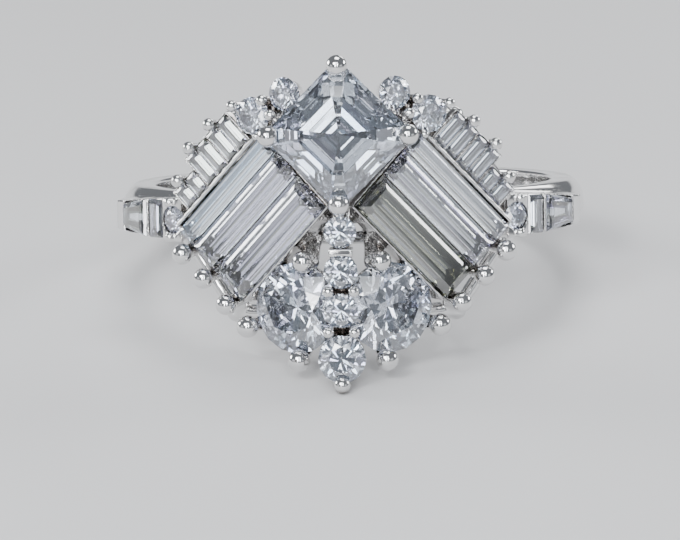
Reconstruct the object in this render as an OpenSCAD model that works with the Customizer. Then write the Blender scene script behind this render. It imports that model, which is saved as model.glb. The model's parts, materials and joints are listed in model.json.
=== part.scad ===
// A cluster ring in white metal: a square step-cut stone on its point, fans of straight step-cut
// stones down both sides, round brilliants between them, and a plain shank. Millimetres.
//
// The ring lies on its side as it would on a table. The origin is the centre of the finger hole.
// The head points towards -Y and leans back, because it reaches lower than the shank does.

/* [Shank] */
// Radius of the finger hole
hole_r = 8.65; // [7.9:0.05:9.5]
// Thickness of the shank
shank_t = 1.45; // [1.2:0.05:1.8]
// Width of the shank
shank_w = 2.0; // [1.6:0.1:2.6]

/* [Head] */
// Height of the ridge stones above the finger axis
ridge_h = 12.25; // [12:0.05:12.8]
// Slope of each half of the head away from the ridge
wing_slope = 25; // [20:1:28]
// Height of the girdle of the centre stone above the finger axis
centre_h = 12.75; // [12.6:0.05:13.2]
// Distance of the centre stone above the middle of the shank
centre_v = 3.67; // [3.5:0.01:3.8]
// Side of the centre stone
centre_side = 4.4; // [4.0:0.1:4.5]

/* [Stones] */
// Length of the long straight stones
long_l = 5.65; // [5.3:0.05:5.7]
// Width of the inner long stone
long_w1 = 1.76; // [1.6:0.02:1.8]
// Width of the middle long stone
long_w2 = 1.33; // [1.2:0.01:1.36]
// Width of the outer long stone
long_w3 = 0.88; // [0.7:0.02:0.9]
// Width of each short straight stone
short_w = 0.6; // [0.5:0.02:0.64]
// Length of the longer short stones
short_l = 1.5; // [1.3:0.05:1.6]
// Radius of the large round stones
corner_r = 1.88; // [1.7:0.02:1.9]
// Radius of the lowest stone on the ridge
tail_r = 0.98; // [0.85:0.01:1.0]

/* [Clearances] */
// Gap between a stone and its seat
gap = 0.04; // [0.03:0.005:0.06]

/* [Hidden] */
$fn = 48;
shank_r = hole_r + shank_t;
dome_r = 0.6 * shank_w;
metal_colour = [0.86, 0.86, 0.88];
stone_colour = [0.80, 0.84, 0.88];

// Step cuts. Each row is [share of the full height, inset as a share of the breadth].
HEIGHT = 0;
INSET = 1;
crown_share = 0.2;
pavilion_share = 0.48;
girdle_share = 0.05;
seat_share = 0.7;
seat_tier = 2;
CROWN = [[1, 0.22], [0.72, 0.14], [0.4, 0.06], [0, 0]];
PAVILION = [[0, 0], [0.27, 0.1], [0.54, 0.22], [0.78, 0.345], [1, 0.48]];

// The centre stone keeps its clipped corners all the way down. Each row is [height, scale].
CENTRE_TIERS = [
    [0.62, 0.58], [0.45, 0.74], [0.25, 0.88], [0, 1],
    [-0.1, 1], [-0.6, 0.83], [-1.06, 0.64], [-1.5, 0.43], [-1.92, 0.2], [-2.12, 0.04]
];
centre_clip = 0.875;

// Round brilliants, as shares of the girdle radius.
table_r = 0.56;
star_r = 0.76;
lower_r = 0.23;
brilliant_crown = 0.3;
brilliant_pavilion = 0.86;
brilliant_girdle = 0.06;

// Places on a wing: a runs along the long stones, outward and down, b across them, outward and up.
long_a = -0.02;
long_gap = 0.06;
long_b1 = 1.0;
long_b2 = long_b1 + long_w1 + long_gap;
long_b3 = long_b2 + long_w2 + long_gap;
LONG_B = [long_b1, long_b2, long_b3];
LONG_W = [long_w1, long_w2, long_w3];
// Claws at the outer ends of the long stones, each by how far across the wing it stands.
LONG_CLAWS = [long_b1 + 0.3, long_b2 - long_gap / 2, long_b3 - long_gap / 2];
fan_b = long_b3 + long_w3;
short_gap = 0.06;
short_b = fan_b + 0.28;
pair_gap = 0.12;
pair_a = 0.62;
// Short stones in pairs, each row [a of the pair's first edge, length].
PAIRS = [
    [pair_a, short_l],
    [pair_a + 2 * short_w + short_gap + pair_gap, short_l],
    [pair_a + 2 * (2 * short_w + short_gap + pair_gap), 0.62 * short_l]
];
// Round stones on a wing, each row [a, b, girdle radius].
UPPER_ROUNDS = [[-1.98, 5.52, 0.69], [-0.27, 5.95, 0.78]];
// Small claws between them, each row [a, b, ball radius, the round stone it springs from].
UPPER_CLAWS = [
    [-1.12, 5.98, 0.26, 0], [-0.98, 5.3, 0.26, 0], [0.05, 6.82, 0.26, 1], [0.12, 5.14, 0.2, 1]
];
corner_a = 4.1;
corner_b = -0.86;
corner_drop = 0.35;
// Its claws, each row [angle, distance of the tip from the middle of the stone].
CORNER_CLAWS = [[151, 2.02], [24, 2.24], [307, 2.14]];
corner_ball = 0.48;
// Rings under a large round stone, each row [height, thickness, outer radius, inner radius].
BASKET_RINGS = [[-0.66, 0.36, 1.8, 1.24], [-1.75, 0.4, 1.3, 0.92]];
// Round stones down the ridge, each row [v, girdle radius].
RIDGE_ROUNDS = [[-0.29, 0.66], [-1.9, 0.7], [-3.5, 0.7], [-5.48, tail_r]];
ridge_lift = 0.15;
RIDGE_CLAWS = [-2.71, -4.38];

// Shoulders, by angle round the finger from the middle of the head.
shoulder_r = 11.05;
shoulder_round_angle = 40.2;
shoulder_round_r = 0.56;
// Tapered stones, each row [angle of the middle, length, inner width, outer width].
TAPERS = [[45.9, 0.86, 1.62, 1.6], [54, 1.76, 1.56, 1.08]];
shoulder_start = 37.3;
shoulder_end = 62.4;

// The base of the head: a rail along the finger at each end, a spine between them, and a basket.
rail_r = 9.2;
rail_t = 0.36;
rail_angle = 30;
rail_high = 4.15;
rail_low = -3.95;
arm_r = 9.5;
arm_angle = 47;
arm_t = 0.29;
knuckle_r = rail_t + 0.07;
spine_t = 0.7;
spine_low = -5.1;
spine_high = 5.9;
spine_h = shank_r + 0.12;
// Square frames under the centre stone, each row [height from the girdle, thickness, half side
// outside, half side inside].
BASKET_FRAMES = [[-1.3, 0.36, 2.02, 1.68], [-2.6, 0.36, 1.62, 1.26]];
centre_ball = 0.45;
long_ball = 0.45;
short_ball = 0.29;
bed_t = 1.35;
short_bed_t = 0.62;
shoulder_foot_r = 9.7;
shoulder_top_r = 11.15;

// How far the ring leans back at rest: the floor touches the tail claw and a flat on the shank's rim.
tail_v = -6.52;
tail_h = ridge_h + 0.33;
tail_bead = 0.36;
rim_r = shank_r - dome_r + sqrt(dome_r * dome_r - shank_w * shank_w / 4);
rest_flat = 0.03;
rest_run = tail_h + rim_r;
rest_drop = -tail_v - shank_w / 2;
rest_tilt = atan2(rest_drop, rest_run) + asin((tail_bead + rest_flat) / norm([rest_run, rest_drop]));
floor_z = tail_h * sin(rest_tilt) + tail_v * cos(rest_tilt) - tail_bead;

SIDES = [1, -1];
function side_name(side) = side > 0 ? "right" : "left";

// Outlines
function unit(v) = v / norm(v);
function inward(from, to) = let (d = unit(to - from)) [-d.y, d.x];
function before(i, n) = (i + n - 1) % n;
function after(i, n) = (i + 1) % n;

// The outline with every side moved in by d. Its points run anticlockwise and it is convex.
function inset(outline, d) = let (n = len(outline)) [
    for (i = [0:n - 1])
        let (
            first = inward(outline[before(i, n)], outline[i]),
            second = inward(outline[i], outline[after(i, n)])
        )
        outline[i] + (first + second) * d / (1 + first * second)
];
function trapezoid(l, w1, w2) = [[-l / 2, -w1 / 2], [l / 2, -w2 / 2], [l / 2, w2 / 2], [-l / 2, w1 / 2]];

// Frames
module at_rest() { rotate([-rest_tilt, 0, 0]) children(); }

// The head seen from the front: x to the right, y up along the finger, z out of the finger.
module on_head() { at_rest() rotate([90, 0, 0]) children(); }
module mirrored(side) { mirror([side < 0 ? 1 : 0, 0, 0]) children(); }
module on_wing(side) {
    on_head() mirrored(side) translate([0, 0, ridge_h]) rotate([0, wing_slope, 0])
        rotate([0, 0, -45]) children();
}
module on_shoulder(side, angle, r = shoulder_r) {
    on_head() mirrored(side) rotate([0, angle, 0]) translate([0, 0, r]) children();
}

// Cut stones
// A stone of flat rings from the table down, each [height, outline]. Its girdle is at height 0.
module step_cut(rings) {
    n = len(rings[0][1]);
    last = len(rings) - 1;
    polyhedron(
        points = [for (ring = rings, p = ring[1]) [p.x, p.y, ring[0]]],
        faces = concat(
            [[for (i = [n - 1:-1:0]) i]],
            [for (k = [0:last - 1], i = [0:n - 1])
                [k * n + i, k * n + after(i, n), (k + 1) * n + after(i, n), (k + 1) * n + i]],
            [[for (i = [0:n - 1]) last * n + i]]
        )
    );
}

module straight_cut(outline, w) {
    step_cut(concat(
        [for (tier = CROWN) [tier[HEIGHT] * crown_share * w, inset(outline, tier[INSET] * w)]],
        [for (tier = PAVILION)
            [-(girdle_share + tier[HEIGHT] * pavilion_share) * w, inset(outline, tier[INSET] * w)]]
    ));
}

function centre_outline() = let (half = centre_side / 2, clip = 2 * half * centre_clip - half) [
    [clip, -half], [half, -clip], [half, clip], [clip, half],
    [-clip, half], [-half, clip], [-half, -clip], [-clip, -half]
];

function circle_points(n, r, z, start) = [
    for (i = [0:n - 1])
        let (t = start + i * 360 / n)
        [r * cos(t), r * sin(t), z]
];

module brilliant(r) {
    step = 22.5;
    crown = brilliant_crown * r;
    girdle = brilliant_girdle * r;
    pavilion = brilliant_pavilion * r;
    star_z = crown * (1 - star_r * cos(step)) / (1 - table_r);
    lower_z = -pavilion + (pavilion - girdle) * lower_r * cos(step);
    STAR = 8;
    TOP = 16;
    BOTTOM = 32;
    LOWER = 48;
    CULET = 56;
    polyhedron(
        points = concat(
            circle_points(8, table_r * r, crown, 0),
            circle_points(8, star_r * r, star_z, step),
            circle_points(16, r, 0, 0),
            circle_points(16, r, -girdle, 0),
            circle_points(8, lower_r * r, lower_z, step),
            [[0, 0, -pavilion]]
        ),
        faces = concat(
            [[7, 6, 5, 4, 3, 2, 1, 0]],
            [for (i = [0:7]) [i, STAR + i, TOP + 2 * i, STAR + before(i, 8)]],
            [for (i = [0:7]) [after(i, 8), STAR + i, i]],
            [for (i = [0:7]) [STAR + i, TOP + 2 * i + 1, TOP + 2 * i]],
            [for (i = [0:7]) [STAR + i, TOP + (2 * i + 2) % 16, TOP + 2 * i + 1]],
            [for (j = [0:15]) [TOP + j, TOP + after(j, 16), BOTTOM + after(j, 16), BOTTOM + j]],
            [for (i = [0:7]) [CULET, LOWER + before(i, 8), BOTTOM + 2 * i, LOWER + i]],
            [for (i = [0:7]) [LOWER + i, BOTTOM + 2 * i, BOTTOM + 2 * i + 1]],
            [for (i = [0:7]) [LOWER + i, BOTTOM + 2 * i + 1, BOTTOM + (2 * i + 2) % 16]]
        )
    );
}

// Places of the stones, shared by the stones and their seats
module at_centre() { on_head() translate([0, centre_v, centre_h]) rotate([0, 0, 45]) children(); }
module at_long(side, i) {
    on_wing(side) translate([long_a + long_l / 2, LONG_B[i - 1] + LONG_W[i - 1] / 2, 0]) children();
}
function pair_of(i) = PAIRS[floor((i - 1) / 2)];
function short_a(i) = pair_of(i)[0] + short_w / 2 + ((i - 1) % 2) * (short_w + short_gap);
module at_short(side, i) {
    on_wing(side) translate([short_a(i), short_b + pair_of(i)[1] / 2, 0]) rotate([0, 0, 90]) children();
}
module at_upper(side, i) {
    on_wing(side) translate([UPPER_ROUNDS[i - 1][0], UPPER_ROUNDS[i - 1][1], 0]) children();
}
module at_corner(side) { on_wing(side) translate([corner_a, corner_b, -corner_drop]) children(); }
module at_ridge(i) { on_head() translate([0, RIDGE_ROUNDS[i - 1][0], ridge_h + ridge_lift]) children(); }
module at_shoulder_round(side) { on_shoulder(side, shoulder_round_angle) children(); }
module at_taper(side, i) { on_shoulder(side, TAPERS[i - 1][0]) children(); }

module centre_stone() {
    color(stone_colour) at_centre()
        step_cut([for (tier = CENTRE_TIERS) [tier[0], tier[1] * centre_outline()]]);
}
module long_stone(side, i) {
    color(stone_colour) at_long(side, i)
        straight_cut(trapezoid(long_l, LONG_W[i - 1], LONG_W[i - 1]), LONG_W[i - 1]);
}
module short_stone(side, i) {
    color(stone_colour) at_short(side, i) straight_cut(trapezoid(pair_of(i)[1], short_w, short_w), short_w);
}
module upper_round(side, i) { color(stone_colour) at_upper(side, i) brilliant(UPPER_ROUNDS[i - 1][2]); }
module corner_round(side) { color(stone_colour) at_corner(side) brilliant(corner_r); }
module ridge_round(i) { color(stone_colour) at_ridge(i) brilliant(RIDGE_ROUNDS[i - 1][1]); }
module shoulder_round(side) { color(stone_colour) at_shoulder_round(side) brilliant(shoulder_round_r); }
module tapered_stone(side, i) {
    t = TAPERS[i - 1];
    color(stone_colour) at_taper(side, i) straight_cut(trapezoid(t[1], t[2], t[3]), min(t[1], t[3]));
}

// Seats: the room that each stone needs in the metal, with the gap all round
module brilliant_room(r) {
    crown = brilliant_crown * r + gap;
    rotate_extrude() polygon([
        [0, -brilliant_pavilion * r - 2 * gap], [r + gap, -brilliant_girdle * r - gap],
        [r + gap, gap], [table_r * r + gap, crown], [0, crown]
    ]);
}

// A pocket for the girdle and crown over a hole for the pavilion, for a stone of breadth w.
module straight_room(outline, w, through) {
    seat = seat_share * PAVILION[seat_tier][HEIGHT] * pavilion_share * w;
    ledge = seat_share * PAVILION[seat_tier][INSET] * w - 1.3 * gap;
    floor_z = -girdle_share * w - seat;
    translate([0, 0, floor_z]) linear_extrude(crown_share * w + gap - floor_z)
        polygon(inset(outline, -gap));
    translate([0, 0, -through]) linear_extrude(through + floor_z + gap) polygon(inset(outline, ledge));
}

// Metalwork
// A round bar between two points.
module bar(from, to, r) {
    d = to - from;
    run = norm([d.x, d.y]);
    translate(from) rotate([0, atan2(run, d.z), run > 0 ? atan2(d.y, d.x) : 0])
        cylinder(h = norm(d), r = r);
}

// A claw: a post from its foot up to a ball that holds the stone.
module claw(foot, tip, ball_r, post_r) {
    bar(foot, tip, post_r);
    translate(tip) sphere(r = ball_r);
}
module slab(from, to) { translate(from) cube(to - from); }
module square_plate(half, low, high) { slab([-half, -half, low], [half, half, high]); }

// The shank is domed outside and flat inside, with the inner edges eased for the finger. Its lower
// rim has a small flat at the back, where the ring rests.
module shank() {
    ease = 0.12;
    half = shank_w / 2;
    difference() {
        at_rest() rotate_extrude() intersection() {
            translate([shank_r - dome_r, 0]) circle(r = dome_r);
            polygon([
                [hole_r, ease - half], [hole_r + ease, -half], [shank_r + 1, -half],
                [shank_r + 1, half], [hole_r + ease, half], [hole_r, half - ease]
            ]);
        }
        slab([-hole_r / 2, 0, floor_z - 1], [hole_r / 2, shank_r, floor_z]);
    }
}

// A rail that follows the finger under one end of the head.
module finger_rail(v) {
    at_rest() translate([0, 0, v]) rotate([0, 0, -90 - rail_angle])
        rotate_extrude(angle = 2 * rail_angle) translate([rail_r, 0]) circle(r = rail_t);
}
function rail_point(v, u) = [u, v, sqrt(rail_r * rail_r - u * u)];

module spine() {
    on_head() slab([-spine_t / 2, spine_low, rail_r], [spine_t / 2, spine_high, spine_h]);
}

module centre_basket() {
    reach = centre_side / sqrt(2) * centre_clip;
    tip_h = centre_h + 0.32;
    post_r = 0.34;
    on_head() {
        for (side = SIDES)
            claw(rail_point(rail_high, 2 * side), [side * (reach + 0.12), centre_v, tip_h],
                centre_ball, post_r);
        claw([0, spine_high - 0.3, rail_r + 0.3], [0, centre_v + reach + 0.1, tip_h], centre_ball, post_r);
        claw([0, centre_v - 1.9, shank_r], [0, centre_v - reach - 0.08, tip_h], centre_ball, post_r);
    }
    for (frame = BASKET_FRAMES) at_centre() translate([0, 0, frame[0]]) difference() {
        square_plate(frame[2], 0, frame[1]);
        square_plate(frame[3], -1, frame[1] + 1);
    }
}

// The bed under the long stones of a wing, with a shelf at its inner end, a raised edge on its two
// long sides and claws at its outer end.
module long_bed(side) {
    inner_b = long_b1 - 0.16;
    outer_b = fan_b + 0.2;
    start_a = long_a - 0.12;
    end_a = long_a + long_l - 0.02;
    shelf_a = -0.4;
    edge_foot = -0.4;
    on_wing(side) {
        slab([start_a, inner_b, -bed_t], [end_a, outer_b, -0.05]);
        slab([shelf_a, inner_b - 0.2, -bed_t], [start_a + 0.1, outer_b, -0.45]);
        slab([start_a, inner_b, edge_foot], [end_a - 0.1, inner_b + 0.11, 0.1]);
        slab([start_a, fan_b + 0.05, edge_foot], [end_a - 0.1, outer_b, 0.2]);
        for (claw_b = LONG_CLAWS)
            claw([end_a + 0.05, claw_b, 0.2 - bed_t], [end_a + 0.5, claw_b, 0.28], long_ball, 0.3);
    }
}

// The beds under the pairs of short stones, each with a claw, and the strip that joins them.
module short_beds(side) {
    edge = 0.12;
    pair_w = 2 * short_w + short_gap;
    on_wing(side) {
        for (pair = PAIRS) {
            middle_a = pair[0] + pair_w / 2;
            end_b = short_b + pair[1];
            slab([pair[0] - edge, fan_b, -short_bed_t], [pair[0] + pair_w + edge, end_b + 0.1, -0.02]);
            tip = [middle_a + 0.1, end_b + 0.16, 0.22];
            claw([middle_a, end_b, 0.1 - short_bed_t], tip, short_ball, 0.22);
        }
        slab([pair_a, fan_b, 0.1 - bed_t], [PAIRS[2][0] + short_w, fan_b + 0.9, 0.15 - short_bed_t]);
    }
}

module upper_cups(side) {
    on_wing(side) for (stone = UPPER_ROUNDS) {
        cup_h = brilliant_pavilion * stone[2] + 0.2;
        translate([stone[0], stone[1], -cup_h])
            cylinder(h = cup_h - 0.1, r1 = 0.72 * stone[2], r2 = stone[2] - 0.02);
    }
}

// Struts from the finger rails out to the beds of a wing.
module struts(side) {
    rail_end = rail_r * sin(rail_angle);
    on_head() mirrored(side) {
        bar(rail_point(rail_high, 2.5), [2.0, 5.3, 10.5], 0.26);
        bar(rail_point(rail_high, rail_end - 0.2), [3.35, 4.4, 9.75], 0.28);
        bar(rail_point(rail_low, rail_end - 0.15), [4.1, -2.75, 9.3], 0.3);
    }
}

// Arms from the ends of the finger rails back to the shank under each shoulder.
module rail_arms() {
    for (side = SIDES, v = [rail_high, rail_low]) {
        from = rail_point(v, rail_r * sin(rail_angle));
        to = [arm_r * sin(arm_angle), sign(v) * 0.55, arm_r * cos(arm_angle)];
        on_head() mirrored(side) {
            translate(from) sphere(r = knuckle_r);
            bar(from, to, arm_t);
        }
    }
}

// A flat strap between two points of a plane, from height low up to height high.
module strap(from, to, w, low, high) {
    d = to - from;
    translate([from.x, from.y, 0]) rotate([0, 0, atan2(d.y, d.x)])
        slab([0, -w / 2, low], [norm(d), w / 2, high]);
}

// The small claws between the round stones of a wing, each reached by a strap from its cup.
module upper_claws(side) {
    foot_h = -0.85;
    tip_h = 0.18;
    cups = [for (stone = UPPER_ROUNDS) [stone[0], stone[1]]];
    on_wing(side) {
        strap(cups[0], cups[1], 0.5, -0.98, -0.6);
        strap(cups[1], [pair_a + 0.1, short_b + 0.5], 0.5, -0.94, -0.56);
        strap(cups[0], [-0.5, 4.95], 0.44, -1.02, -0.64);
        for (c = UPPER_CLAWS) {
            strap(cups[c[3]], [c[0], c[1]], 0.24, -0.9, -0.52);
            claw([c[0], c[1], foot_h], [c[0], c[1], tip_h], c[2], 0.7 * c[2]);
        }
    }
}

// The open basket of a large round stone: two rings, three claws and a prop under the inner side.
module corner_basket(side) {
    foot_out = 1.12;
    at_corner(side) {
        for (ring = BASKET_RINGS) translate([0, 0, ring[0]]) difference() {
            cylinder(h = ring[1], r = ring[2]);
            translate([0, 0, -1]) cylinder(h = ring[1] + 2, r = ring[3]);
        }
        for (c = CORNER_CLAWS) {
            d = [cos(c[0]), sin(c[0])];
            foot = [foot_out * d.x, foot_out * d.y, BASKET_RINGS[1][0] + 0.2];
            claw(foot, [c[1] * d.x, c[1] * d.y, 0.36], corner_ball, 0.3);
        }
    }
    on_head() bar([side * 1.25, -0.75, shank_r - 0.1], [side * 1.32, -1.6, 11.6], 0.42);
}

// Cups for the ridge stones on posts from the spine, the claws between them and the claw at the tail.
module ridge() {
    girdle_h = ridge_h + ridge_lift;
    tip_h = girdle_h + 0.16;
    post_r = 0.3;
    bridge_v = -1.125;
    on_head() {
        for (stone = RIDGE_ROUNDS) {
            cup_h = brilliant_pavilion * stone[1] + 0.22;
            post_v = max(stone[0], spine_low + 0.2);
            translate([0, stone[0], girdle_h - cup_h])
                cylinder(h = cup_h - 0.1 * stone[1], r = stone[1] - 0.03);
            bar([0, post_v, rail_r + 0.3], [0, stone[0], girdle_h - cup_h + 0.1], post_r);
        }
        slab([-0.5, bridge_v - 0.175, girdle_h - 0.9], [0.5, bridge_v + 0.175, tip_h]);
        bar([0, bridge_v, shank_r], [0, bridge_v, girdle_h - 0.8], post_r);
        for (v = RIDGE_CLAWS, side = SIDES)
            claw([0, v, girdle_h - 1.2], [side * 0.52, v, tip_h], 0.25, 0.18);
        claw([0, spine_low - 0.1, rail_r + 0.4], [0, tail_v, tail_h], tail_bead, 0.27);
    }
}

// A shoulder: a raised block on the shank that narrows away from the head, with its end sloped off.
module shoulder(side) {
    wide_x = shoulder_top_r * sin(shoulder_start);
    narrow_x = shoulder_top_r * sin(shoulder_end) + 0.6;
    wide = 0.95;
    narrow = 0.54;
    deep = 2;
    end_slope = 38;
    difference() {
        intersection() {
            at_rest() rotate_extrude() translate([shoulder_foot_r, -deep])
                square([shoulder_top_r - shoulder_foot_r, 2 * deep]);
            on_head() mirrored(side) translate([0, 0, 4]) linear_extrude(shank_r)
                polygon([[wide_x, -wide], [narrow_x, -narrow], [narrow_x, narrow], [wide_x, wide]]);
        }
        on_shoulder(side, shoulder_end, shoulder_top_r) rotate([0, end_slope, 0])
            slab([0, -3, 0], [6, 3, 6]);
    }
    at_shoulder_round(side) for (end = SIDES)
        claw([0.1, end * 0.74, -0.6], [0.1, end * 0.72, 0.16], 0.22, 0.18);
}

module centre_room() {
    low = -0.5;
    at_centre() {
        translate([0, 0, 2 * low]) linear_extrude(-low) polygon(inset(0.88 * centre_outline(), -gap));
        translate([0, 0, low]) linear_extrude(CENTRE_TIERS[2][0] - low)
            polygon(inset(centre_outline(), -gap));
        for (k = [1, 0]) linear_extrude(CENTRE_TIERS[k][0] + gap)
            polygon(inset(CENTRE_TIERS[k + 1][1] * centre_outline(), -gap));
    }
}

module stone_rooms() {
    through = 2;
    centre_room();
    for (side = SIDES) {
        for (i = [1:3]) at_long(side, i)
            straight_room(trapezoid(long_l, LONG_W[i - 1], LONG_W[i - 1]), LONG_W[i - 1], through);
        for (i = [1:6]) at_short(side, i)
            straight_room(trapezoid(pair_of(i)[1], short_w, short_w), short_w, through);
        for (i = [1:2]) at_upper(side, i) brilliant_room(UPPER_ROUNDS[i - 1][2]);
        at_corner(side) brilliant_room(corner_r);
        at_shoulder_round(side) brilliant_room(shoulder_round_r);
        for (t = TAPERS) on_shoulder(side, t[0])
            straight_room(trapezoid(t[1], t[2], t[3]), min(t[1], t[3]), 0.7);
    }
    for (i = [1:4]) at_ridge(i) brilliant_room(RIDGE_ROUNDS[i - 1][1]);
}

module ring_metal() {
    color(metal_colour) union() {
        shank();
        difference() {
            union() {
                finger_rail(rail_high);
                finger_rail(rail_low);
                rail_arms();
                spine();
                centre_basket();
                ridge();
                for (side = SIDES) {
                    struts(side);
                    long_bed(side);
                    short_beds(side);
                    upper_cups(side);
                    upper_claws(side);
                    corner_basket(side);
                    shoulder(side);
                }
            }
            stone_rooms();
            at_rest() translate([0, 0, -10]) cylinder(h = 20, r = hole_r + 0.04);
        }
    }
}

ring_metal();
centre_stone();
for (side = SIDES) {
    word = side_name(side);
    for (i = [1:3])
        long_stone(side, i);
    for (i = [1:6])
        short_stone(side, i);
    for (i = [1:2])
        upper_round(side, i);
    for (i = [1:2])
        tapered_stone(side, i);
    corner_round(side);
    shoulder_round(side);
}
for (i = [1:4])
    ridge_round(i);
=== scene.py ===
"""A white-metal cluster ring with cut stones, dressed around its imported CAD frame.

The frame gives every place and size. The cut stones stay as the frame has them and get a cut-stone
finish. The metal node is replaced by two pieces: a casting with softened edges, fused from the node
itself, and a cleanly turned shank.
"""

from __future__ import annotations

import json
import logging
import math
from dataclasses import dataclass
from enum import Enum

import bmesh
import bpy
from mathutils import Matrix, Vector, noise


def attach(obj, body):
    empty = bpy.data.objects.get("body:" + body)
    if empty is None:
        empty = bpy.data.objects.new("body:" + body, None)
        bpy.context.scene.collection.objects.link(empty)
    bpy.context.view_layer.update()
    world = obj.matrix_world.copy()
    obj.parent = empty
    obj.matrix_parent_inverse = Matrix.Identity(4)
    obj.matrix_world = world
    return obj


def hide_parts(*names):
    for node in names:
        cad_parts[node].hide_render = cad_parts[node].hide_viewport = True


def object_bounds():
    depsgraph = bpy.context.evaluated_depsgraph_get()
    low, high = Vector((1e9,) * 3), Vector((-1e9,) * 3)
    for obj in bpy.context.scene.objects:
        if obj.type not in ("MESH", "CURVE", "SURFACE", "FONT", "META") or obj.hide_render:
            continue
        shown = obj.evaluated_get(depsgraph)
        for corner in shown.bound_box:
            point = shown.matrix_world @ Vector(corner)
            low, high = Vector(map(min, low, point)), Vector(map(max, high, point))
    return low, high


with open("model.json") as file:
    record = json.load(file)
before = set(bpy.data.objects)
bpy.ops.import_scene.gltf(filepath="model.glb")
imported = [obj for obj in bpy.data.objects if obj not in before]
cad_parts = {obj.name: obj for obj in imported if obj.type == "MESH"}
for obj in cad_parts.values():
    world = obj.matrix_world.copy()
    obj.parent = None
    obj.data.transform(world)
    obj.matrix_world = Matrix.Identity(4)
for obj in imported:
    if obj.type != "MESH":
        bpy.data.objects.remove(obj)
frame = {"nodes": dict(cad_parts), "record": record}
CAD_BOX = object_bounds()

LOG = logging.getLogger("ring")
MM = 0.001

# The colour sockets of a Mix node, whose names repeat.
MIX_FIRST, MIX_SECOND, MIX_RESULT = 6, 7, 2

Colour = tuple[float, float, float]


# Shader maths
class Socket:
    """An output socket of a node tree, with arithmetic that adds the nodes for it."""

    def __init__(self, graph: Graph, socket: bpy.types.NodeSocket) -> None:
        """Wraps one output socket of a graph."""
        self.graph = graph
        self.socket = socket

    @property
    def is_vector(self) -> bool:
        """Whether the socket carries a vector or a colour."""
        return self.socket.type in {"VECTOR", "RGBA"}

    def _combine(self, operation: str, first: Operand, second: Operand) -> Socket:
        """Adds the node for one operation.

        Args:
            operation: The operation's name, which Math and Vector Math share.
            first: The left operand.
            second: The right operand.

        Returns:
            The result, a vector if either operand is one.
        """
        vector = any(isinstance(x, Socket) and x.is_vector for x in (first, second))
        if vector:
            first, second = (x if isinstance(x, (Socket, tuple)) else (x,) * 3 for x in (first, second))
        kind = "ShaderNodeVectorMath" if vector else "ShaderNodeMath"
        return self.graph.node(kind, {"operation": operation}, {0: first, 1: second})

    def __add__(self, other: Operand) -> Socket:
        """Returns the sum."""
        return self._combine("ADD", self, other)

    __radd__ = __add__

    def __sub__(self, other: Operand) -> Socket:
        """Returns this less the other."""
        return self._combine("SUBTRACT", self, other)

    def __rsub__(self, other: Operand) -> Socket:
        """Returns the other less this."""
        return self._combine("SUBTRACT", other, self)

    def __mul__(self, other: Operand) -> Socket:
        """Returns the product."""
        return self._combine("MULTIPLY", self, other)

    __rmul__ = __mul__

    def __pow__(self, other: Operand) -> Socket:
        """Returns this to the power of the other."""
        return self._combine("POWER", self, other)

    def dot(self, axis: tuple[float, float, float]) -> Socket:
        """Returns the dot product with a fixed vector."""
        inputs = {0: self, 1: axis}
        return self.graph.node("ShaderNodeVectorMath", {"operation": "DOT_PRODUCT"}, inputs, "Value")

    def sine(self) -> Socket:
        """Returns the sine."""
        return self.graph.node("ShaderNodeMath", {"operation": "SINE"}, {0: self})

    def between(self, low: float, high: float) -> Socket:
        """Returns 0 below low, 1 above high and a smooth rise between them."""
        settings = {"interpolation_type": "SMOOTHSTEP"}
        inputs = {"Value": self, "From Min": low, "From Max": high}
        return self.graph.node("ShaderNodeMapRange", settings, inputs)


Operand = Socket | float | tuple[float, float, float]


class Graph:
    """The node tree of one material, world or light."""

    def __init__(self, tree: bpy.types.NodeTree) -> None:
        """Empties a tree to build in."""
        self.tree = tree
        tree.nodes.clear()

    def node(
        self,
        kind: str,
        settings: dict[str, object] | None = None,
        inputs: dict[str | int, Operand] | None = None,
        out: str | int = 0,
    ) -> Socket:
        """Adds a node.

        Args:
            kind: The node's type.
            settings: Its properties, set first; "stops" are a ramp's rows of place and colour.
            inputs: A value or a socket for each of its inputs, by name or number.
            out: The output to return.

        Returns:
            That output.
        """
        made = self.tree.nodes.new(kind)
        for name, value in (settings or {}).items():
            if name == "stops":
                self._set_stops(made.color_ramp, value)
            else:
                setattr(made, name, value)
        for name, value in (inputs or {}).items():
            if isinstance(value, Socket):
                self.tree.links.new(value.socket, made.inputs[name])
            else:
                self._set_value(made.inputs[name], value)
        return Socket(self, made.outputs[out])

    @staticmethod
    def _set_value(socket: bpy.types.NodeSocket, value: Operand) -> None:
        """Sets an input to a plain value, with full alpha if it is a colour."""
        if socket.type == "RGBA" and len(value) == 3:
            value = (*value, 1.0)
        socket.default_value = value

    @staticmethod
    def _set_stops(ramp: bpy.types.ColorRamp, stops: list[tuple[float, Colour]]) -> None:
        """Gives a ramp its stops."""
        while len(ramp.elements) < len(stops):
            ramp.elements.new(1.0)
        for element, (place, colour) in zip(ramp.elements, stops):
            element.position = place
            element.color = (*colour, 1.0)

    def blend(self, factor: Operand, first: Operand, second: Operand) -> Socket:
        """Returns a colour between two others."""
        inputs = {"Factor": factor, MIX_FIRST: first, MIX_SECOND: second}
        return self.node("ShaderNodeMix", {"data_type": "RGBA"}, inputs, MIX_RESULT)

    def noise(self, place: Socket, scale: float, detail: float) -> Socket:
        """Returns a cloudy noise over a place."""
        return self.node("ShaderNodeTexNoise", None, {"Vector": place, "Scale": scale, "Detail": detail})

    def output(self, shader: Socket, kind: str = "ShaderNodeOutputMaterial") -> None:
        """Sends a shader to the tree's output."""
        made = self.tree.nodes.new(kind)
        self.tree.links.new(shader.socket, made.inputs["Surface"])


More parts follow.
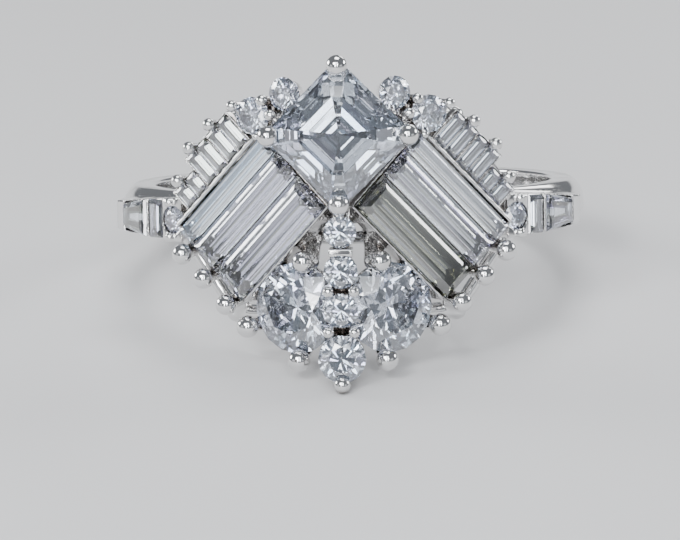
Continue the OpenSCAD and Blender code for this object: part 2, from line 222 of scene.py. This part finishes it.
# Places
def finger_lean() -> Matrix:
    """Returns the turn from upright to the way the finger hole points in the frame."""
    axis = Vector(frame["record"]["mounts"][0]["axis"])
    return Matrix.Rotation(-math.atan2(axis.y, axis.z), 3, "X")


HEAD_FACING = tuple(finger_lean() @ Vector((0, -1, 0)))


# Finishes
@dataclass(frozen=True)
class PolishedWhiteMetal:
    """Plated white metal: bright, with fine polishing marks and warm, dark painted shade in its corners.

    Attributes:
        name: The material's name.
        bright: Its colour where it lies open.
        corner: The colour of the painted shade in its corners.
        painted_shade_reach_mm: How near other metal has to be to darken it.
        painted_shade_range: The shares of open sky at which it is all painted shade and all bright.
        roughness: Its roughness where it is polished.
        worn_roughness: Its roughness where it is worn.
        worn_range: The values of the noise at which wear begins and is full.
        worn_scale: The fineness of the worn patches.
        mark_scale: The fineness of the polishing marks.
        mark_strength: How much of the marks' relief shows.
        mark_depth_mm: The marks' depth.
    """

    name: str = "polished_white_metal"
    bright: Colour = (0.765, 0.762, 0.76)
    # painted shade: the warm dark colour blended in where other metal is near
    corner: Colour = (0.25, 0.23, 0.215)
    painted_shade_reach_mm: float = 0.55
    painted_shade_range: tuple[float, float] = (0.25, 0.8)
    roughness: float = 0.09
    worn_roughness: float = 0.2
    worn_range: tuple[float, float] = (0.52, 0.7)
    worn_scale: float = 900.0
    mark_scale: float = 9000.0
    mark_strength: float = 0.35
    mark_depth_mm: float = 0.0006

    def material(self) -> bpy.types.Material:
        """Returns the finish as a material."""
        made = bpy.data.materials.new(self.name)
        made.use_nodes = True
        graph = Graph(made.node_tree)
        place = graph.node("ShaderNodeTexCoord", out="Object")
        worn = graph.noise(place, self.worn_scale, 3.0)
        marks = graph.noise(place, self.mark_scale, 4.0)
        # painted shade: ambient occlusion turns the colour warm and dark in corners where other metal is near
        open_share = graph.node(
            "ShaderNodeAmbientOcclusion", {"samples": 6}, {"Distance": self.painted_shade_reach_mm * MM}, "AO"
        )
        colour_with_painted_shade = graph.blend(open_share.between(*self.painted_shade_range), self.corner, self.bright)
        relief = {"Strength": self.mark_strength, "Distance": self.mark_depth_mm * MM, "Height": marks}
        bump = graph.node("ShaderNodeBump", None, relief, "Normal")
        wear = self.worn_roughness - self.roughness
        rough = self.roughness + wear * worn.between(*self.worn_range)
        inputs = {"Base Color": colour_with_painted_shade, "Metallic": 1.0, "Roughness": rough, "Normal": bump}
        graph.output(graph.node("ShaderNodeBsdfPrincipled", None, inputs))
        return made


@dataclass(frozen=True)
class CutStone:
    """A clear stone of high index. Its back facets mirror the light, and each is painted a reflection colour,
    light or dark, by the way it faces.

    Attributes:
        name: The material's name.
        front: The colour of the facets that face outward.
        painted_reflection_tints: The painted reflection colours of the back facets, light and dark, chosen by
            the way each one faces.
        mirror_share: How much the back facets act as mirrors.
        index: The index of refraction.
        facet_axis: The axis along which a facet's facing is read to choose its tint.
        back_range: How far a facet faces away where it begins to be a back facet, and where it is one.
    """

    name: str
    front: Colour
    painted_reflection_tints: tuple[Colour, ...]
    mirror_share: float = 0.45
    index: float = 2.65
    facet_axis: tuple[float, float, float] = (7.3, 5.1, 8.7)
    back_range: tuple[float, float] = (0.02, 0.12)

    def material(self) -> bpy.types.Material:
        """Returns the finish as a material."""
        made = bpy.data.materials.new(self.name)
        made.use_nodes = True
        graph = Graph(made.node_tree)
        turned = graph.node("ShaderNodeNewGeometry", out="Backfacing")
        outward = graph.node("ShaderNodeNewGeometry", out="True Normal") * (1.0 - 2.0 * turned)
        back = (0.0 - outward.dot(HEAD_FACING)).between(*self.back_range)
        # painted reflections: each back facet gets one of these colours by the way it faces, as stripes of
        # reflected light and shade
        stops = [(i / len(self.painted_reflection_tints), painted_reflection) for i, painted_reflection in enumerate(self.painted_reflection_tints)]
        share = outward.dot(self.facet_axis).sine() * 0.5 + 0.5
        painted_reflection = graph.node("ShaderNodeValToRGB", {"stops": stops}, {"Fac": share}, "Color")
        inputs = {
            "Base Color": graph.blend(back, self.front, painted_reflection),
            "Metallic": back * self.mirror_share,
            "Roughness": 0.0,
            "IOR": self.index,
            "Transmission Weight": 1.0,
        }
        graph.output(graph.node("ShaderNodeBsdfPrincipled", None, inputs))
        return made


@dataclass(frozen=True)
class PaleFloor:
    """The plain matt floor."""

    name: str = "pale_floor"
    colour: Colour = (0.65, 0.65, 0.655)
    roughness: float = 0.7

    def material(self) -> bpy.types.Material:
        """Returns the finish as a material."""
        made = bpy.data.materials.new(self.name)
        made.use_nodes = True
        graph = Graph(made.node_tree)
        inputs = {"Base Color": self.colour, "Roughness": self.roughness}
        graph.output(graph.node("ShaderNodeBsdfPrincipled", None, inputs))
        return made


# Metal
def link(name: str, mesh: bpy.types.Mesh) -> bpy.types.Object:
    """Returns a new object of a mesh, linked into the scene."""
    made = bpy.data.objects.new(name, mesh)
    bpy.context.scene.collection.objects.link(made)
    return made


@dataclass
class Shank:
    """The plain domed band round the finger, with the flat that it rests on. Sizes are in mm.

    Attributes:
        hole_radius: The radius of the finger hole.
        thickness: The band's thickness at the crown of its dome.
        width: The band's width along the finger.
        dome_radius: The radius of its domed outside.
        flat_share: The share of the inside that is flat, before the eased edges.
        ease: The radius of the eased inner edges.
        steps_round: The sections round the band.
        steps_dome: The steps over the dome.
        steps_ease: The steps over one eased edge.
    """

    hole_radius: float = 8.65
    thickness: float = 1.447
    width: float = 2.0
    dome_radius: float = 1.2
    flat_share: float = 0.45
    ease: float = 0.12
    steps_round: int = 288
    steps_dome: int = 16
    steps_ease: int = 5

    def profile(self) -> list[tuple[float, float]]:
        """Returns the section's points, each a radius and a height along the finger, all the way round it."""
        half = self.width / 2
        middle = self.hole_radius + self.thickness - self.dome_radius
        reach = math.asin(half / self.dome_radius)
        upper = [(self.hole_radius, y) for y in (0.0, self.flat_share * half)]
        for i in range(self.steps_ease + 1):
            turn = math.pi - i / self.steps_ease * math.pi / 2
            radius = self.hole_radius + self.ease + self.ease * math.cos(turn)
            upper.append((radius, half - self.ease + self.ease * math.sin(turn)))
        for i in range(self.steps_dome + 1):
            turn = reach * (1 - i / self.steps_dome)
            upper.append((middle + self.dome_radius * math.cos(turn), self.dome_radius * math.sin(turn)))
        return upper + [(r, -y) for r, y in reversed(upper[1:-1])]

    def build(self) -> bpy.types.Object:
        """Returns the band as one closed ring."""
        section = self.profile()
        sides = len(section)
        lean = finger_lean()
        points = []
        for i in range(self.steps_round):
            turn = i / self.steps_round * math.tau
            points += [lean @ (Vector((r * math.cos(turn), r * math.sin(turn), y)) * MM) for r, y in section]
        for point in points:
            point.z = max(point.z, CAD_BOX[0].z)
        faces = []
        for i in range(self.steps_round):
            here = i * sides
            there = (i + 1) % self.steps_round * sides
            for k in range(sides):
                after = (k + 1) % sides
                faces.append((here + k, there + k, there + after, here + after))
        mesh = bpy.data.meshes.new("shank")
        mesh.from_pydata(points, [], faces)
        shape = bmesh.new()
        shape.from_mesh(mesh)
        bmesh.ops.recalc_face_normals(shape, faces=shape.faces)
        shape.to_mesh(mesh)
        shape.free()
        mesh.shade_smooth()
        return link("shank", mesh)


@dataclass
class Casting:
    """The head and shoulders, fused from the metal node with softened edges, as cast and polished.

    Sizes are in mm.

    Attributes:
        node: The metal node's name.
        cut_height: How far from the middle of the finger the casting is cut off.
        weld: The distance within which the node's points are one.
        voxel: The cell size of the fusing.
        relax_passes: How often the fused surface is smoothed.
        kept_share: The share of the faces that is kept.
        least_edge: The length below which an edge is closed up.
        recess: How far the surface is pressed in everywhere.
        unevenness: How much farther it is pressed in at most.
        unevenness_size: The size of the uneven patches.
    """

    node: str = "ring_metal"
    cut_height: float = 3.2
    weld: float = 0.0001
    voxel: float = 0.06
    rough_voxel: float = 0.12
    relax_passes: int = 3
    kept_share: float = 0.3
    least_edge: float = 0.002
    recess: float = 0.005
    unevenness: float = 0.008
    unevenness_size: float = 0.9

    def _head_only(self) -> bpy.types.Mesh:
        """Returns a copy of the node's mesh, cut off flat below the shoulders."""
        mesh = frame["nodes"][self.node].data.copy()
        shape = bmesh.new()
        shape.from_mesh(mesh)
        bmesh.ops.remove_doubles(shape, verts=shape.verts, dist=self.weld * MM)
        outward = Vector(HEAD_FACING)
        cut = bmesh.ops.bisect_plane(
            shape,
            geom=[*shape.verts, *shape.edges, *shape.faces],
            plane_co=outward * self.cut_height * MM,
            plane_no=outward,
            clear_inner=True,
        )
        edges = [e for e in cut["geom_cut"] if isinstance(e, bmesh.types.BMEdge)]
        bmesh.ops.holes_fill(shape, edges=edges, sides=0)
        shape.to_mesh(mesh)
        shape.free()
        return mesh

    def build(self) -> bpy.types.Object:
        """Returns the casting."""
        made = link("head_casting", self._head_only())
        fuse = made.modifiers.new("fuse", "REMESH")
        fuse.mode = "VOXEL"
        fuse.voxel_size = self.voxel * MM
        relax = made.modifiers.new("relax", "SMOOTH")
        relax.iterations = self.relax_passes
        thin = made.modifiers.new("thin", "DECIMATE")
        thin.ratio = self.kept_share
        evaluated = made.evaluated_get(bpy.context.evaluated_depsgraph_get())
        mesh = bpy.data.meshes.new_from_object(evaluated)
        made.modifiers.clear()
        made.data = mesh
        self._drop_crumbs(mesh)
        self._press_in(mesh)
        mesh.shade_smooth()
        return made

    def _drop_crumbs(self, mesh: bpy.types.Mesh) -> None:
        """Closes up faces too thin to see and deletes the loose bits that fusing leaves in small gaps."""
        shape = bmesh.new()
        shape.from_mesh(mesh)
        bmesh.ops.dissolve_degenerate(shape, dist=self.least_edge * MM, edges=shape.edges)
        crumbs = sorted(self._shells(shape), key=len)[:-1]
        bmesh.ops.delete(shape, geom=[vertex for crumb in crumbs for vertex in crumb], context="VERTS")
        many_sided = [face for face in shape.faces if len(face.verts) > 4]
        bmesh.ops.triangulate(shape, faces=many_sided)
        shape.to_mesh(mesh)
        shape.free()

    @staticmethod
    def _shells(shape: bmesh.types.BMesh) -> list[list[bmesh.types.BMVert]]:
        """Returns the vertices of each separate shell of a shape."""
        unseen = set(shape.verts)
        shells = []
        while unseen:
            shell = []
            reached = [unseen.pop()]
            while reached:
                vertex = reached.pop()
                shell.append(vertex)
                near = unseen.intersection(edge.other_vert(vertex) for edge in vertex.link_edges)
                unseen -= near
                reached += near
            shells.append(shell)
        return shells

    def _press_in(self, mesh: bpy.types.Mesh) -> None:
        """Moves the surface in by the recess and a little unevenness, so that it stays inside the node."""
        normals = [v.normal.copy() for v in mesh.vertices]
        for vertex, normal in zip(mesh.vertices, normals):
            wave = noise.noise(vertex.co / (self.unevenness_size * MM)) * 0.5 + 0.5
            vertex.co -= normal * (self.recess + self.unevenness * wave) * MM


@dataclass
class Metalwork:
    """All the soldered metal of the ring."""

    finish: PolishedWhiteMetal = PolishedWhiteMetal()

    def build(self) -> list[bpy.types.Object]:
        """Builds the metal, dresses it and puts it in the node's place.

        Returns:
            The pieces.
        """
        material = self.finish.material()
        pieces = [Casting().build(), Shank().build()]
        for piece in pieces:
            piece.data.materials.clear()
            piece.data.materials.append(material)
            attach(piece, "root")
            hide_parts("ring_metal")
        return pieces


# Stones
# painted reflections: the stones' back facets are painted in these colours; white and the pale ones stand for
# reflected light, grey, olive and dusk for reflected shade. White is also the lamps' colour.
WHITE = (1.0, 1.0, 1.0)
LAVENDER = (0.83, 0.79, 0.95)
BLUE = (0.78, 0.90, 1.0)
OLIVE = (0.62, 0.62, 0.52)
DUSK = (0.60, 0.61, 0.56)
GREY = (0.47, 0.47, 0.50)


class Cut(Enum):
    """The cuts of stone, by how their nodes' names start."""

    SQUARE = "centre_stone"
    LONG = "long_stone"
    # painted shade: this long stone gets the darker, shaded copy of the stone finish
    SHADED_LONG = "long_stone_right_1"
    # painted light: the two outer long stones get the brighter copy of the stone finish
    OUTER_LONG = ("long_stone_left_3", "long_stone_right_3")
    SHORT = "short_stone"
    TAPERED = "tapered_stone"
    LARGE_ROUND = "corner_round"
    SMALL_ROUND = ("upper_round", "ridge_round", "shoulder_round")

    @classmethod
    def of(cls, node: str) -> Cut | None:
        """Returns the cut of a node, the last that fits its name, or None if it isn't a stone."""
        fitting = [cut for cut in cls if node.startswith(cut.value)]
        return fitting[-1] if fitting else None


@dataclass
class Stones:
    """The cut stones, which are the frame's own nodes."""

    def finishes(self) -> dict[Cut, CutStone]:
        """Returns the finish of each cut, with a copy painted darker as shade and a copy painted lighter as
        light for some long stones.
        """
        cool = CutStone("cool_stone", (0.86, 0.92, 1.0), (WHITE, LAVENDER, BLUE, GREY, WHITE))
        # painted reflection stripes for each copy; the shaded copy's front and back colours are darker as
        # painted shade, the bright copy's paler as painted light
        painted_reflection_bands = (WHITE, OLIVE, WHITE, LAVENDER, GREY, WHITE)
        painted_band_finish = CutStone("painted_band_stone", (0.86, 0.92, 1.0), painted_reflection_bands, mirror_share=0.9)
        painted_shade_bands = (OLIVE, GREY, WHITE, DUSK, GREY, OLIVE)
        shaded = CutStone("shaded_stone", (0.84, 0.88, 0.93), painted_shade_bands, mirror_share=0.9)
        painted_light_bands = (WHITE, WHITE, BLUE, WHITE, LAVENDER, WHITE)
        bright = CutStone("bright_stone", (0.95, 0.98, 1.0), painted_light_bands, mirror_share=0.95)
        return {
            Cut.SQUARE: cool,
            Cut.LONG: painted_band_finish,
            Cut.SHADED_LONG: shaded,
            Cut.OUTER_LONG: bright,
            Cut.SHORT: painted_band_finish,
            Cut.TAPERED: painted_band_finish,
            Cut.LARGE_ROUND: cool,
            Cut.SMALL_ROUND: cool,
        }

    def dress(self) -> int:
        """Gives each stone its finish.

        Returns:
            How many stones there are.
        """
        finishes = self.finishes()
        materials = {finish: finish.material() for finish in dict.fromkeys(finishes.values())}
        count = 0
        for name, stone in frame["nodes"].items():
            cut = Cut.of(name)
            if cut:
                stone.data.materials.clear()
                stone.data.materials.append(materials[finishes[cut]])
                count += 1
        return count


# Studio
HEAD_MIDDLE = (0.0, -11.0, 2.0)


@dataclass(frozen=True)
class Softbox:
    """A rectangular light that faces the head of the ring. Sizes and places are in mm.

    Attributes:
        name: The light's name.
        place: Its middle.
        width: Its width.
        height: Its height.
        radiance: How bright its middle is.
        colour: Its colour.
        fade: How soft its edges are, from near 0 for hard ones to 1.
    """

    name: str
    place: tuple[float, float, float]
    width: float
    height: float
    radiance: float
    colour: Colour = WHITE
    fade: float = 0.6

    def build(self) -> None:
        """Adds the light."""
        light = bpy.data.lights.new(self.name, "AREA")
        light.shape = "RECTANGLE"
        light.size = self.width * MM
        light.size_y = self.height * MM
        light.energy = self.radiance * math.pi * light.size * light.size_y
        light.color = self.colour
        light.use_nodes = True
        graph = Graph(light.node_tree)
        share = graph.node("ShaderNodeNewGeometry", out="Parametric")
        across, along = share.dot((1.0, 0.0, 0.0)), share.dot((0.0, 1.0, 0.0))
        glow = self._inside(across) * self._inside(along)
        graph.output(graph.node("ShaderNodeEmission", None, {"Strength": glow}), "ShaderNodeOutputLight")
        lamp = bpy.data.objects.new(self.name, light)
        lamp.location = Vector(self.place) * MM
        lamp.visible_camera = False
        towards = Vector(HEAD_MIDDLE) * MM - lamp.location
        lamp.rotation_euler = towards.to_track_quat("-Z", "Y").to_euler()
        bpy.context.scene.collection.objects.link(lamp)

    def _inside(self, share: Socket) -> Socket:
        """Returns 1 over the middle of the light, falling softly to 0 at its two edges."""
        return (share * (1.0 - share) * 4.0).between(0.0, self.fade)


@dataclass
class Studio:
    """The floor, the lights and the camera.

    Attributes:
        floor_side: The floor's side, in m.
        bounces: How often light may turn.
        sky: The colour of the light from all round.
        sky_strength: How bright it is.
        azimuth: The camera's angle to the right of the front, in degrees.
        elevation: Its angle above the floor, in degrees.
        roll: Its turn about its own line of sight, in degrees.
        distance: Its distance from the aim, in mm.
        lens: Its focal length, in mm.
        aim: The point that it looks at, in mm.
        clip_start: The nearest that it sees, in m.
        clip_end: The farthest that it sees, in m.
    """

    floor_side: float = 3.0
    bounces: int = 24
    sky: Colour = (0.80, 0.84, 0.90)
    sky_strength: float = 0.26
    azimuth: float = 3.028
    elevation: float = 20.273
    roll: float = -1.72
    distance: float = 150.0
    lens: float = 195.34
    aim: tuple[float, float, float] = (-0.033, -12.309, 1.39)
    clip_start: float = 0.001
    clip_end: float = 10.0

    def lights(self) -> list[Softbox]:
        """Returns the lights."""
        cool, cooler = (0.97, 0.98, 1.0), (0.93, 0.96, 1.0)
        return [
            Softbox("key", (-60.0, -120.0, 110.0), 60.0, 60.0, 20.0, (0.97, 0.985, 1.0)),
            Softbox("low_left", (-121.0, -88.0, 33.0), 90.0, 54.0, 0.7, cool),
            Softbox("low_right", (112.0, -100.0, 36.0), 90.0, 54.0, 0.7, cooler),
            Softbox("side_left", (-138.0, 48.0, 45.0), 84.0, 44.0, 18.0),
            Softbox("side_right", (134.0, 52.0, 53.0), 84.0, 44.0, 13.0, cool),
            Softbox("strip_left", (-40.0, -200.0, 80.0), 22.0, 160.0, 14.0, cool),
            Softbox("strip_right", (40.0, -200.0, 100.0), 22.0, 160.0, 14.0, cooler),
            Softbox("top_front", (0.0, -150.0, 170.0), 120.0, 50.0, 6.0, cooler),
            Softbox("overhead", (10.0, 30.0, 150.0), 90.0, 90.0, 7.0, cool),
            Softbox("back", (60.0, 170.0, 70.0), 90.0, 60.0, 5.0),
            Softbox("spark_left", (-28.0, -150.0, 70.0), 9.0, 9.0, 150.0, fade=0.1),
            Softbox("spark_right", (36.0, -145.0, 95.0), 8.0, 8.0, 150.0, fade=0.1),
        ]

    def build(self) -> None:
        """Builds the floor, the world, the lights and the camera."""
        self._build_floor()
        world = bpy.data.worlds.new("studio")
        world.use_nodes = True
        graph = Graph(world.node_tree)
        sky = graph.node("ShaderNodeBackground", None, {"Color": self.sky, "Strength": self.sky_strength})
        graph.output(sky, "ShaderNodeOutputWorld")
        bpy.context.scene.world = world
        for light in self.lights():
            light.build()
        self._let_light_bounce()
        self._build_camera()

    def _let_light_bounce(self) -> None:
        """Lets light turn often enough inside the stones to find its way out again."""
        paths = bpy.context.scene.cycles
        paths.max_bounces = self.bounces
        paths.glossy_bounces = self.bounces
        paths.transmission_bounces = self.bounces

    def _build_floor(self) -> None:
        """Builds the floor at the lowest point of the frame."""
        half = self.floor_side / 2
        level = CAD_BOX[0].z
        corners = [(-half, -half, level), (half, -half, level), (half, half, level), (-half, half, level)]
        mesh = bpy.data.meshes.new("floor")
        mesh.from_pydata(corners, [], [(0, 1, 2, 3)])
        mesh.materials.append(PaleFloor().material())
        link("floor", mesh)

    def _build_camera(self) -> None:
        """Builds the camera at the photograph's angle."""
        turn = math.radians(self.azimuth)
        rise = math.radians(self.elevation)
        back = Vector((math.sin(turn) * math.cos(rise), -math.cos(turn) * math.cos(rise), math.sin(rise)))
        right = Vector((math.cos(turn), math.sin(turn), 0.0))
        up = back.cross(right)
        facing = Matrix((right, up, back)).transposed() @ Matrix.Rotation(math.radians(self.roll), 3, "Z")
        camera = bpy.data.cameras.new("camera")
        camera.lens = self.lens
        camera.clip_start = self.clip_start
        camera.clip_end = self.clip_end
        stand = bpy.data.objects.new("camera", camera)
        place = (Vector(self.aim) + back * self.distance) * MM
        stand.matrix_world = Matrix.Translation(place) @ facing.to_4x4()
        bpy.context.scene.collection.objects.link(stand)
        bpy.context.scene.camera = stand


def main() -> None:
    """Builds the ring's looks and the studio."""
    logging.basicConfig(level=logging.INFO, format="%(message)s")
    for piece in Metalwork().build():
        LOG.info("%s: %d faces", piece.name, len(piece.data.polygons))
    LOG.info("stones: %d", Stones().dress())
    Studio().build()


if __name__ == "__main__":
    main()
